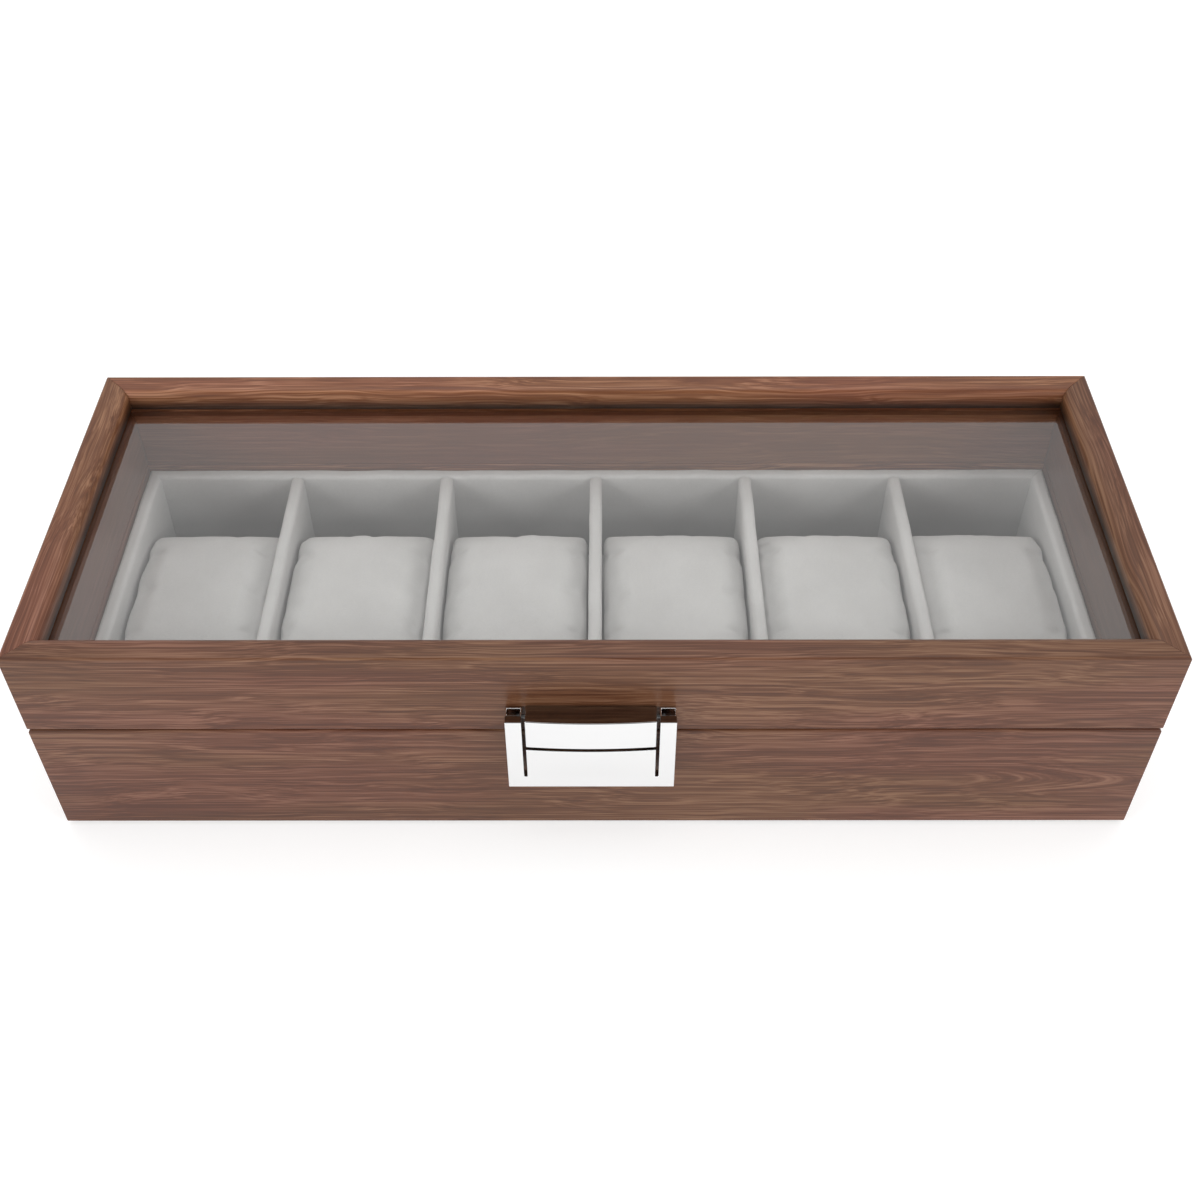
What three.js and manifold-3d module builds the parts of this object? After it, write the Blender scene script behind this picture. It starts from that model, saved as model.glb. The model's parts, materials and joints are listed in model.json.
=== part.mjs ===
// A watch box: a base and a lid of mitred boards, a glass top, a lined tray with five dividers, six
// pillows that lift out, two rear hinges and a flip clasp. Millimetres, +Z up.
// +X runs to the right along the row of pillows and +Y to the back, from the clasp to the hinges.
// The origin is the centre of the underside.
import * as THREE from "three";
import { mergeVertices } from "three/addons/utils/BufferGeometryUtils.js";
import Module from "manifold-3d";

const wasm = await Module();
wasm.setup();

// ---------------------------------------------------------------- driving dimensions

const WIDTH = 300;
const DEPTH = 117;
const HEIGHT = 70;
const SEAM = 41.8; // height of the line between base and lid
const SEAM_GAP = 0.4;
const FIT = 0.3; // clearance between two pieces that are glued or screwed together
const EASED = 0.8; // radius of the eased outer edges

const WALL = 8.2; // thickness of the base's boards
const BOTTOM = 3;
const FELT = 0.8;
const FELT_INSET = 1.5;

const LIP_WIDTH = 8.1; // the lid's frame, seen from above
const LIP_ROUND = 2.8; // radius of the frame's inner edge
const LIP_DEPTH = 6.5; // from the frame's top down to the glass
const LID_BOARD = 6; // thickness of the lid's outer board, below the lip
const GLASS = 2;

const TRAY_WALL = 4;
const TRAY_TOP = 40;
const TRAY_FLOOR = 1.7;
const TRAY_ROUND = 1.2; // soft edge of the boards, which are wrapped in cloth
const DIVIDER = 3.8;
const DIVIDER_PITCH = 47;
const SLOTS = 6;

const PILLOW_SIDE_GAP = 0.6; // between a pillow and the boards at its left and right
const PILLOW_LENGTH = 68; // front to back
const PILLOW_HEIGHT = 31.2;
const PILLOW_ROUND = 4.5; // rounding at its left and right ends
const PILLOW_POWER = 2.5; // superellipse power of its front-to-back section

const HINGE_X = 85; // each hinge's distance from the middle of the box
const HINGE_WIDTH = 34;
const LEAF = 0.8; // leaf thickness
const LEAF_DEPTH = 5.3; // how far a leaf reaches into the seam
const KNUCKLE_RADIUS = 2;
const KNUCKLE_STANDOFF = 0.3; // between a knuckle and the back of the box
const KNUCKLE_GAP = 0.3;
const HINGE_PIN_RADIUS = 0.8;
const HINGE_PIN_PROUD = 0.4;
const PIN_CLEARANCE = 0.2;

const CLASP_X = -0.85; // the clasp sits a little left of the middle
const CLASP_WIDTH = 44.4;
const CLASP_BOTTOM = 25.3;
const CLASP_TOP = 52.1;
const CLASP_PROUD = 6; // from the front of the box to the front of the clasp
const CLASP_BULGE = 0.7; // extra reach of its curved middle
const CLASP_SHEET = 2.4; // thickness of the flap's front
const ARM_WIDTH = 4.3;
const SLIT = 0.85; // slits beside the nose and the tongue
const SLIT_BOTTOM = 29.7;
const TONGUE_TOP = 41.1;
const TONGUE_SLOPE = 0.8; // drop of the tongue's upper edge towards the box, so that it swings clear
const NOSE_BOTTOM = 42.1;
const NOSE_TOP = 52.4;
const SKIRT = 0.8; // thickness of the arms' side walls
const SKIRT_GAP = 0.7; // between the arms and the box
const TAB = 0.5; // thickness of the tab that closes each arm's upper end at the back
const TAB_HEIGHT = 3;
const CLASP_PIN_RADIUS = 0.6;
const CLASP_PIN_REACH = 19.2;
const CLASP_PIN_PROUD = 2.6;
const CLASP_PIN_Z = 50.8;
const CATCH_WIDTH = 28;
const CATCH_BOTTOM = 30.5;
const CATCH_TOP = 40.3;
const CATCH_PLATE = 1.2;
const RIDGE_REACH = 3; // how far the catch's ridge stands out from the box
const RIDGE_Z = 38;
const RIDGE_RADIUS = 1.2;
const DETENT_Z = 34.6;
const DETENT_RADIUS = 1.5;
const DETENT_REACH = 0.3; // how far the detent stands out of the tongue's back
const DETENT_WIDTH = 16;

const HINGE_SCREW = { head: 1.4, headDepth: 1, shank: 0.75, length: 8 };
const HINGE_SCREW_SPREAD = 10;
const CATCH_SCREW = { head: 1.9, headDepth: 1, shank: 0.9, length: 6.5 };
const CATCH_SCREW_X = 9;
const CATCH_SCREW_Z = 33.2;
const NOSE_SCREW = { head: 2.1, headDepth: 1.3, shank: 1, length: 12 };
const NOSE_SCREW_X = 10;
const NOSE_SCREW_Z = 46.6;
const SCREW_RIM = 0.2; // straight rim of a screw's head

const ARC_STEPS = 8; // segments in a quarter turn
const ROUND_SIDES = 20; // sides of a small cylinder
const PILLOW_STEPS = 36; // points round a pillow's section
const PAST = 1; // how far a cutting shape runs past the face that it cuts

// ---------------------------------------------------------------- derived sizes

const BASE_BOTTOM = FELT + FIT;
const BASE_TOP = SEAM - SEAM_GAP / 2;
const LID_BOTTOM = SEAM + SEAM_GAP / 2;
const GLASS_TOP = HEIGHT - LIP_DEPTH - FIT;
const GLASS_BOTTOM = GLASS_TOP - GLASS;
const LINER_OUTER = LID_BOARD + FIT;
const TRAY_OUTER = WALL + FIT;
const TRAY_BOTTOM = BASE_BOTTOM + BOTTOM + FIT;
const FLOOR_TOP = TRAY_BOTTOM + TRAY_FLOOR;
const TRAY_INNER_X = WIDTH / 2 - TRAY_OUTER - TRAY_WALL;
const TRAY_INNER_Y = DEPTH / 2 - TRAY_OUTER - TRAY_WALL;
const HINGE_AXIS_OUT = KNUCKLE_STANDOFF + KNUCKLE_RADIUS; // from the back of the box to the pin
const LEAF_NEAR = SEAM_GAP / 2 + FIT / 2; // from the middle of the seam to a leaf
const LEAF_FAR = LEAF_NEAR + LEAF;
const ARM_INNER = CLASP_WIDTH / 2 - ARM_WIDTH;
const TONGUE_HALF = ARM_INNER - SLIT;
const FLAP_BACK = CLASP_PROUD - CLASP_SHEET; // from the box to the back of the flap's front

// ---------------------------------------------------------------- materials

const finish = (color, roughness, metalness = 0) =>
  new THREE.MeshStandardMaterial({ color, roughness, metalness });
const walnut = finish(0x7a5142, 0.5);
const velvet = finish(0xbdbcba, 0.95);
const felt = finish(0x2b2a29, 1);
const chrome = finish(0xe8e8ea, 0.08, 1);
const nickel = finish(0xb8b6b0, 0.28, 1);
const steel = finish(0x9c9a96, 0.35, 1);
const glass = finish(0xdde4e4, 0.03);
glass.transparent = true;
glass.opacity = 0.3;

// ---------------------------------------------------------------- solids and cuts

// A closed geometry as a manifold-3d solid.
function toSolid(geometry) {
  const bare = geometry.index ? geometry.toNonIndexed() : geometry.clone();
  bare.deleteAttribute("normal");
  bare.deleteAttribute("uv");
  const merged = mergeVertices(bare, 1e-4);
  return new wasm.Manifold(
    new wasm.Mesh({
      numProp: 3,
      vertProperties: new Float32Array(merged.attributes.position.array),
      triVerts: new Uint32Array(merged.index.array),
    }),
  );
}

function toGeometry(solid) {
  const mesh = solid.getMesh();
  const geometry = new THREE.BufferGeometry();
  geometry.setAttribute("position", new THREE.BufferAttribute(new Float32Array(mesh.vertProperties), 3));
  geometry.setIndex(new THREE.BufferAttribute(new Uint32Array(mesh.triVerts), 1));
  geometry.computeVertexNormals();
  return geometry;
}

const cut = (geometry, tools) =>
  toGeometry(tools.reduce((solid, tool) => solid.subtract(toSolid(tool)), toSolid(geometry)));
const join = (geometry, others) =>
  toGeometry(others.reduce((solid, other) => solid.add(toSolid(other)), toSolid(geometry)));

// ---------------------------------------------------------------- basic shapes

// A box between two values on each axis.
function box([x0, x1], [y0, y1], [z0, z1]) {
  const geometry = new THREE.BoxGeometry(x1 - x0, y1 - y0, z1 - z0);
  return geometry.translate((x0 + x1) / 2, (y0 + y1) / 2, (z0 + z1) / 2);
}

// A cylinder along X, from x0 to x1, round the line at y and z.
function rodAlongX(radius, [x0, x1], y, z) {
  const geometry = new THREE.CylinderGeometry(radius, radius, x1 - x0, ROUND_SIDES);
  return geometry.rotateZ(Math.PI / 2).translate((x0 + x1) / 2, y, z);
}

const both = (half) => [-half, half];

// A closed outline through points.
const outline = (points) => new THREE.Shape(points.map(([a, b]) => new THREE.Vector2(a, b)));

function extrude(shape, depth) {
  return new THREE.ExtrudeGeometry(shape, { depth, bevelEnabled: false, curveSegments: ARC_STEPS });
}

// Turns a solid extruded along Z from a shape in X and Y into one extruded along X, its shape in Y and Z.
const alongX = (geometry) =>
  geometry.applyMatrix4(new THREE.Matrix4().set(0, 0, 1, 0, 1, 0, 0, 0, 0, 1, 0, 0, 0, 0, 0, 1));

// A rectangle whose upper two corners are rounded.
function softTopped([a0, a1], [z0, z1], radius) {
  const shape = new THREE.Shape();
  shape.moveTo(a0, z0);
  shape.lineTo(a1, z0);
  shape.absarc(a1 - radius, z1 - radius, radius, 0, Math.PI / 2, false);
  shape.absarc(a0 + radius, z1 - radius, radius, Math.PI / 2, Math.PI, false);
  shape.closePath();
  return shape;
}

// ---------------------------------------------------------------- mitred boards

// The four sides of the box. Each has a frame of its own: X along the side, Y inwards from the outer
// face, and Z up from the underside.
const SIDES = [
  { name: "front", quarterTurns: 0, out: DEPTH / 2, span: WIDTH },
  { name: "right", quarterTurns: 1, out: WIDTH / 2, span: DEPTH },
  { name: "back", quarterTurns: 2, out: DEPTH / 2, span: WIDTH },
  { name: "left", quarterTurns: 3, out: WIDTH / 2, span: DEPTH },
];

// A board of the given section, drawn in Y and Z of a side's frame. Its ends are cut to 45 degrees,
// with half a clearance left at each.
function mitredBoard(section, span) {
  const geometry = alongX(extrude(section, 1));
  const position = geometry.attributes.position;
  for (let i = 0; i < position.count; i++) {
    const half = span / 2 - position.getY(i) - FIT / 2;
    position.setX(i, position.getX(i) > 0.5 ? half : -half);
  }
  return geometry;
}

// The base's board: square inside, with both outer edges eased.
function baseSection() {
  const shape = new THREE.Shape();
  shape.moveTo(WALL, BASE_BOTTOM);
  shape.lineTo(WALL, BASE_TOP);
  shape.absarc(EASED, BASE_TOP - EASED, EASED, Math.PI / 2, Math.PI, false);
  shape.absarc(EASED, BASE_BOTTOM + EASED, EASED, Math.PI, 1.5 * Math.PI, false);
  shape.closePath();
  return shape;
}

// The lid's board: its top reaches in over the glass as a lip with a rounded inner edge.
function railSection() {
  const shape = new THREE.Shape();
  shape.moveTo(LID_BOARD, LID_BOTTOM);
  shape.lineTo(LID_BOARD, HEIGHT - LIP_DEPTH);
  shape.lineTo(LIP_WIDTH, HEIGHT - LIP_DEPTH);
  shape.absarc(LIP_WIDTH - LIP_ROUND, HEIGHT - LIP_ROUND, LIP_ROUND, 0, Math.PI / 2, false);
  shape.absarc(EASED, HEIGHT - EASED, EASED, Math.PI / 2, Math.PI, false);
  shape.absarc(EASED, LID_BOTTOM + EASED, EASED, Math.PI, 1.5 * Math.PI, false);
  shape.closePath();
  return shape;
}

// The lid's liner, which holds the glass up against the lip.
const linerSection = () =>
  outline([
    [LINER_OUTER, LID_BOTTOM],
    [WALL, LID_BOTTOM],
    [WALL, GLASS_BOTTOM - FIT],
    [LINER_OUTER, GLASS_BOTTOM - FIT],
  ]);

const traySection = () =>
  softTopped([TRAY_OUTER, TRAY_OUTER + TRAY_WALL], [TRAY_BOTTOM, TRAY_TOP], TRAY_ROUND);

// ---------------------------------------------------------------- screws

// An outline of radius and height, turned about Z.
function turned(profile) {
  const points = profile.map(([radius, z]) => new THREE.Vector2(radius, z));
  return new THREE.LatheGeometry(points, ROUND_SIDES).rotateX(Math.PI / 2);
}

// A countersunk screw with a slot. Its head's top is at z = 0 and its point at z = -length.
function screw({ head, headDepth, shank, length }) {
  const pointLength = shank * 1.5;
  const slotHalf = head * 0.16;
  const slotDepth = headDepth * 0.45;
  const body = turned([
    [0, -length],
    [shank, pointLength - length],
    [shank, -headDepth],
    [head, -SCREW_RIM],
    [head, 0],
    [0, 0],
  ]);
  return cut(body, [box(both(head + PAST), both(slotHalf), [-slotDepth, PAST])]);
}

// The hole that such a screw sits in, a little wider and deeper all round.
const screwHole = ({ head, headDepth, shank, length }) =>
  turned([
    [0, -length - FIT],
    [shank + FIT, -length - FIT],
    [shank + FIT, -headDepth],
    [head + FIT, -SCREW_RIM],
    [head + FIT, PAST],
    [0, PAST],
  ]);

// Where each kind of screw goes: its head's place and its turn about X, in the frame of its side.
const HINGE_SCREW_Y = LEAF_DEPTH / 2 + FIT;
const inBase = (x) => ({ place: [x, HINGE_SCREW_Y, SEAM - LEAF_NEAR], tilt: 0 });
const inLid = (x) => ({ place: [x, HINGE_SCREW_Y, SEAM + LEAF_NEAR], tilt: Math.PI });
const inCatch = (x) => ({ place: [x, -FIT - CATCH_PLATE, CATCH_SCREW_Z], tilt: Math.PI / 2 });
const inNose = (x) => ({ place: [x, WALL, NOSE_SCREW_Z], tilt: -Math.PI / 2 });

const catchSpots = both(CATCH_SCREW_X).map(inCatch);
const noseSpots = both(NOSE_SCREW_X).map(inNose);
const hingeXs = both(HINGE_X);
const hingeScrewXs = (x) => both(HINGE_SCREW_SPREAD).map((offset) => x + offset);

const holesAt = (spots, size, shift = 0) =>
  spots.map(({ place, tilt }) => screwHole(size).rotateX(tilt).translate(...place).translate(shift, 0, 0));

// ---------------------------------------------------------------- hinges

// In the back's frame the pin lies outside the box, so its Y is negative.
const HINGE_AXIS_Y = -HINGE_AXIS_OUT;

// Spans of the three knuckles of a hinge whose middle is at x.
function knuckleSpans(x) {
  const step = (HINGE_WIDTH + KNUCKLE_GAP) / 3;
  return [0, 1, 2].map((i) => {
    const start = x - HINGE_WIDTH / 2 + i * step;
    return [start, start + step - KNUCKLE_GAP];
  });
}

// The shallow pocket that a leaf lies in, cut into a board's edge between two heights.
function leafPocket(x, heights) {
  const half = HINGE_WIDTH / 2 + FIT;
  return box([x - half, x + half], [-PAST, LEAF_DEPTH + FIT], heights);
}

// One leaf with the knuckles that it carries, of the three, and holes for its screws.
function hingeLeaf(x, heights, carried, holes) {
  const plate = box([x - HINGE_WIDTH / 2, x + HINGE_WIDTH / 2], [0, LEAF_DEPTH], heights);
  const spans = knuckleSpans(x).filter((_, i) => carried.includes(i));
  const arms = spans.map((span) => box(span, [HINGE_AXIS_Y, PAST], heights));
  const knuckles = spans.map((span) => rodAlongX(KNUCKLE_RADIUS, span, HINGE_AXIS_Y, SEAM));
  const bored = [x - HINGE_WIDTH, x + HINGE_WIDTH];
  const bore = rodAlongX(HINGE_PIN_RADIUS + PIN_CLEARANCE, bored, HINGE_AXIS_Y, SEAM);
  return cut(join(plate, [...arms, ...knuckles]), [bore, ...holes]);
}

function hingePin(x) {
  const half = HINGE_WIDTH / 2 + HINGE_PIN_PROUD;
  return rodAlongX(HINGE_PIN_RADIUS, [x - half, x + half], HINGE_AXIS_Y, SEAM);
}

// ---------------------------------------------------------------- what is cut out of each side

const NO_CUTS = { wall: [], rail: [], liner: [] };
const CUTS = {
  front: {
    wall: holesAt(catchSpots, CATCH_SCREW, CLASP_X),
    rail: holesAt(noseSpots, NOSE_SCREW, CLASP_X),
    liner: holesAt(noseSpots, NOSE_SCREW, CLASP_X),
  },
  back: {
    wall: [
      ...hingeXs.map((x) => leafPocket(x, [SEAM - LEAF_FAR - FIT, SEAM + PAST])),
      ...holesAt(hingeXs.flatMap(hingeScrewXs).map(inBase), HINGE_SCREW),
    ],
    rail: [
      ...hingeXs.map((x) => leafPocket(x, [SEAM - PAST, SEAM + LEAF_FAR + FIT])),
      ...holesAt(hingeXs.flatMap(hingeScrewXs).map(inLid), HINGE_SCREW),
    ],
    liner: [],
  },
  left: NO_CUTS,
  right: NO_CUTS,
};

// ---------------------------------------------------------------- panels, tray and pillows

// A flat panel that leaves the given margin inside the box's outline.
const panel = (margin, heights) => box(both(WIDTH / 2 - margin), both(DEPTH / 2 - margin), heights);

function divider() {
  const shape = softTopped(both(DIVIDER / 2), [FLOOR_TOP + FIT, TRAY_TOP], TRAY_ROUND);
  const length = 2 * (TRAY_INNER_Y - FIT);
  return extrude(shape, length).rotateX(Math.PI / 2).translate(0, length / 2, 0);
}

// A pillow round the origin: a superellipse from front to back, with rounded ends.
function pillow(width) {
  const reach = (value) => Math.sign(value) * Math.abs(value) ** (2 / PILLOW_POWER);
  const points = [];
  for (let i = 0; i < PILLOW_STEPS; i++) {
    const angle = (2 * Math.PI * i) / PILLOW_STEPS;
    points.push([
      (PILLOW_LENGTH / 2) * reach(Math.cos(angle)),
      (PILLOW_HEIGHT / 2) * reach(Math.sin(angle)),
    ]);
  }
  const geometry = new THREE.ExtrudeGeometry(outline(points), {
    depth: width - 2 * PILLOW_ROUND,
    bevelThickness: PILLOW_ROUND,
    bevelSize: PILLOW_ROUND,
    bevelOffset: -PILLOW_ROUND,
    bevelSegments: 4,
  });
  return alongX(geometry.translate(0, 0, PILLOW_ROUND - width / 2));
}

// Each divider's X, from left to right, and each slot's left and right side.
const dividerXs = Array.from({ length: SLOTS - 1 }, (_, i) => (i + 1 - SLOTS / 2) * DIVIDER_PITCH);
const slotLefts = [-TRAY_INNER_X, ...dividerXs.map((x) => x + DIVIDER / 2)];
const slotRights = [...dividerXs.map((x) => x - DIVIDER / 2), TRAY_INNER_X];
const slotRanges = slotLefts.map((left, i) => [left, slotRights[i]]);

// ---------------------------------------------------------------- clasp

// The clasp's own frame is the front's, moved along X to the clasp's middle. The clasp lies outside the
// box, so its Y is negative.

// A slab of the given half width whose front bulges out in the middle. back is its distance from the box.
function bulgedSlab(half, back, [z0, z1]) {
  const radius = (half * half) / (2 * CLASP_BULGE) + CLASP_BULGE / 2;
  const sweep = Math.asin(half / radius);
  const centre = radius - CLASP_PROUD - CLASP_BULGE;
  const shape = new THREE.Shape();
  shape.moveTo(-half, -back);
  shape.absarc(0, centre, radius, -Math.PI / 2 - sweep, -Math.PI / 2 + sweep, false);
  shape.lineTo(half, -back);
  shape.closePath();
  return extrude(shape, z1 - z0).translate(0, 0, z0);
}

const claspBore = (clearance) =>
  rodAlongX(CLASP_PIN_RADIUS + clearance, both(CLASP_WIDTH), -CLASP_PIN_PROUD, CLASP_PIN_Z);

// The nose fixed to the lid, which the flap turns on.
const claspNose = () =>
  cut(bulgedSlab(TONGUE_HALF, FIT, [NOSE_BOTTOM, NOSE_TOP]), [
    claspBore(FIT / 2),
    ...holesAt(noseSpots, NOSE_SCREW),
  ]);

const claspPin = () =>
  rodAlongX(CLASP_PIN_RADIUS, both(CLASP_PIN_REACH), -CLASP_PIN_PROUD, CLASP_PIN_Z);

// The flap's front: two arms joined by a bar at the bottom.
function flapFront() {
  const outer = CLASP_WIDTH / 2;
  const shape = outline([
    [-outer, CLASP_BOTTOM],
    [outer, CLASP_BOTTOM],
    [outer, CLASP_TOP],
    [ARM_INNER, CLASP_TOP],
    [ARM_INNER, SLIT_BOTTOM],
    [-ARM_INNER, SLIT_BOTTOM],
    [-ARM_INNER, CLASP_TOP],
    [-outer, CLASP_TOP],
  ]);
  return extrude(shape, CLASP_SHEET).rotateX(Math.PI / 2).translate(0, -FLAP_BACK, 0);
}

// One arm's two side walls, and the tab that closes its upper end at the back.
function armWalls(sign) {
  const across = (a, b) => (sign > 0 ? [a, b] : [-b, -a]);
  const deep = [-FLAP_BACK - PAST, -SKIRT_GAP];
  const outer = CLASP_WIDTH / 2;
  return [
    box(across(ARM_INNER, ARM_INNER + SKIRT), deep, [CLASP_BOTTOM, CLASP_TOP]),
    box(across(outer - SKIRT, outer), deep, [CLASP_BOTTOM, CLASP_TOP]),
    box(across(ARM_INNER, outer), [-SKIRT_GAP - TAB, -SKIRT_GAP], [CLASP_TOP - TAB_HEIGHT, CLASP_TOP]),
  ];
}

// The curved tongue, which stands on the bar. Its upper edge slopes down towards the box.
function flapTongue() {
  const slab = bulgedSlab(TONGUE_HALF, FLAP_BACK, [SLIT_BOTTOM - PAST / 2, TONGUE_TOP]);
  const front = -CLASP_PROUD - CLASP_BULGE;
  const slope = outline([
    [front, TONGUE_TOP],
    [-FLAP_BACK, TONGUE_TOP - TONGUE_SLOPE],
    [-FLAP_BACK + PAST, TONGUE_TOP - TONGUE_SLOPE],
    [-FLAP_BACK + PAST, TONGUE_TOP + PAST],
    [front, TONGUE_TOP + PAST],
  ]);
  return cut(slab, [alongX(extrude(slope, 2 * CLASP_WIDTH)).translate(-CLASP_WIDTH, 0, 0)]);
}

// The rounded rib on the tongue's back, which snaps under the catch's ridge.
const flapDetent = () =>
  rodAlongX(DETENT_RADIUS, both(DETENT_WIDTH / 2), -FLAP_BACK + DETENT_REACH - DETENT_RADIUS, DETENT_Z);

const claspFlap = () =>
  cut(join(flapFront(), [...armWalls(-1), ...armWalls(1), flapTongue(), flapDetent()]), [
    claspBore(PIN_CLEARANCE),
  ]);

// The catch on the base, hidden behind the tongue: a plate with a rounded ridge.
function claspCatch() {
  const across = both(CATCH_WIDTH / 2);
  const plate = box(across, [-FIT - CATCH_PLATE, -FIT], [CATCH_BOTTOM, CATCH_TOP]);
  const ridgeY = RIDGE_RADIUS - RIDGE_REACH;
  const ridge = rodAlongX(RIDGE_RADIUS, across, ridgeY, RIDGE_Z);
  const root = box(across, [ridgeY, -FIT], [RIDGE_Z - RIDGE_RADIUS, RIDGE_Z + RIDGE_RADIUS]);
  return cut(join(plate, [ridge, root]), holesAt(catchSpots, CATCH_SCREW));
}

// ---------------------------------------------------------------- assembly

const watchBox = new THREE.Group();

function add(parent, name, geometry, material, place = [0, 0, 0], tilt = 0) {
  const mesh = new THREE.Mesh(geometry, material);
  mesh.name = name;
  mesh.position.set(...place);
  mesh.rotation.x = tilt;
  parent.add(mesh);
}

// An empty group that stands in a side's frame.
function sideFrame({ quarterTurns, out }) {
  const turned = new THREE.Group();
  turned.rotation.z = (quarterTurns * Math.PI) / 2;
  const frame = new THREE.Group();
  frame.position.y = -out;
  turned.add(frame);
  watchBox.add(turned);
  return frame;
}

function addBoards(frame, { name, span }) {
  const { wall, rail, liner } = CUTS[name];
  add(frame, `base_${name}_wall`, cut(mitredBoard(baseSection(), span), wall), walnut);
  add(frame, `lid_${name}_rail`, cut(mitredBoard(railSection(), span), rail), walnut);
  add(frame, `lid_${name}_liner`, cut(mitredBoard(linerSection(), span), liner), walnut);
  add(frame, `tray_${name}_wall`, mitredBoard(traySection(), span), velvet);
}

function addScrews(frame, name, size, spots) {
  spots.forEach(({ place, tilt }, i) => add(frame, `${name}_${i + 1}`, screw(size), steel, place, tilt));
}

// One hinge whose middle is at x, in the back's frame.
function addHinge(frame, name, x) {
  const baseSpots = hingeScrewXs(x).map(inBase);
  const lidSpots = hingeScrewXs(x).map(inLid);
  const baseHeights = [SEAM - LEAF_FAR, SEAM - LEAF_NEAR];
  const lidHeights = [SEAM + LEAF_NEAR, SEAM + LEAF_FAR];
  const baseHoles = holesAt(baseSpots, HINGE_SCREW);
  const lidHoles = holesAt(lidSpots, HINGE_SCREW);
  add(frame, `${name}_base_leaf`, hingeLeaf(x, baseHeights, [0, 2], baseHoles), nickel);
  add(frame, `${name}_lid_leaf`, hingeLeaf(x, lidHeights, [1], lidHoles), nickel);
  add(frame, `${name}_pin`, hingePin(x), steel);
  addScrews(frame, `${name}_base_screw`, HINGE_SCREW, baseSpots);
  addScrews(frame, `${name}_lid_screw`, HINGE_SCREW, lidSpots);
}

function addClasp(front) {
  const frame = new THREE.Group();
  frame.position.x = CLASP_X;
  front.add(frame);
  add(frame, "clasp_nose", claspNose(), chrome);
  add(frame, "clasp_flap", claspFlap(), chrome);
  add(frame, "clasp_pin", claspPin(), steel);
  add(frame, "clasp_catch", claspCatch(), nickel);
  addScrews(frame, "clasp_nose_screw", NOSE_SCREW, noseSpots);
  addScrews(frame, "clasp_catch_screw", CATCH_SCREW, catchSpots);
}

const frames = {};
for (const side of SIDES) {
  frames[side.name] = sideFrame(side);
  addBoards(frames[side.name], side);
}
addHinge(frames.back, "hinge_left", HINGE_X);
addHinge(frames.back, "hinge_right", -HINGE_X);
addClasp(frames.front);

add(watchBox, "base_felt_pad", panel(FELT_INSET, [0, FELT]), felt);
add(watchBox, "base_bottom_panel", panel(WALL + FIT, [BASE_BOTTOM, BASE_BOTTOM + BOTTOM]), walnut);
add(watchBox, "tray_floor", panel(TRAY_OUTER + TRAY_WALL + FIT, [TRAY_BOTTOM, FLOOR_TOP]), velvet);
add(watchBox, "lid_glass", panel(LID_BOARD + FIT, [GLASS_BOTTOM, GLASS_TOP]), glass);

dividerXs.forEach((x, i) => add(watchBox, `tray_divider_${i + 1}`, divider(), velvet, [x, 0, 0]));
const pillowZ = FLOOR_TOP + FIT + PILLOW_HEIGHT / 2;
slotRanges.forEach(([left, right], i) => {
  const geometry = pillow(right - left - 2 * PILLOW_SIDE_GAP);
  add(watchBox, `pillow_${i + 1}`, geometry, velvet, [(left + right) / 2, 0, pillowZ]);
});

export default watchBox;
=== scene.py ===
"""The looks of the watch box: foil-wrapped boards, velvet tray and pillows, glass and chrome clasp."""

import json
import math

import bmesh
import bpy
from mathutils import Matrix, Vector, noise


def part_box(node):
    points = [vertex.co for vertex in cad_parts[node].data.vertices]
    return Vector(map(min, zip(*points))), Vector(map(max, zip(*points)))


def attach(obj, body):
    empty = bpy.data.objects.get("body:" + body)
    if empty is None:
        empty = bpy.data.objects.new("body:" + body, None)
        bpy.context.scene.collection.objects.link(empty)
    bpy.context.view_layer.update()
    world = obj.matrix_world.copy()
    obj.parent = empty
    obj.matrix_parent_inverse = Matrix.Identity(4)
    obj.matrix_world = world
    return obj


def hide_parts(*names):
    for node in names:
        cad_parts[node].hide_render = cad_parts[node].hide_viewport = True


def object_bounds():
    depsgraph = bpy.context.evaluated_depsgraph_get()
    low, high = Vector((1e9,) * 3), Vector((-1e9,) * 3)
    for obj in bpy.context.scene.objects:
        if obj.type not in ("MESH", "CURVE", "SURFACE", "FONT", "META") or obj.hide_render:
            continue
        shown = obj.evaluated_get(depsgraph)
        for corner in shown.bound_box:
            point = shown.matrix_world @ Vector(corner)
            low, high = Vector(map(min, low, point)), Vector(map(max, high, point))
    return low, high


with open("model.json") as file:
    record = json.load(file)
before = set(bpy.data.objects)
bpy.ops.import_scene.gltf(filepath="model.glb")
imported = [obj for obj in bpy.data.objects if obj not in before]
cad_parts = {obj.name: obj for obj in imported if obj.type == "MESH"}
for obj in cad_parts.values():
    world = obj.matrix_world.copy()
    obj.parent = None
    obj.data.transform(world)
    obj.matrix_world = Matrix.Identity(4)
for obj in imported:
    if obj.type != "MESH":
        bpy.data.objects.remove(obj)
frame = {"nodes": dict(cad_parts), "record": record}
cad_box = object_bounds()

MM = 0.001

# The camera, in millimetres and degrees.
CAMERA_PLACE = (2.71, -304.44, 341.83)
CAMERA_YAW = -0.25
CAMERA_PITCH = 45.56  # down from level
CAMERA_ROLL = -0.24
CAMERA_LENS = 43.86
CAMERA_SENSOR = 36
CAMERA_NEAREST = 0.01  # metres

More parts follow.
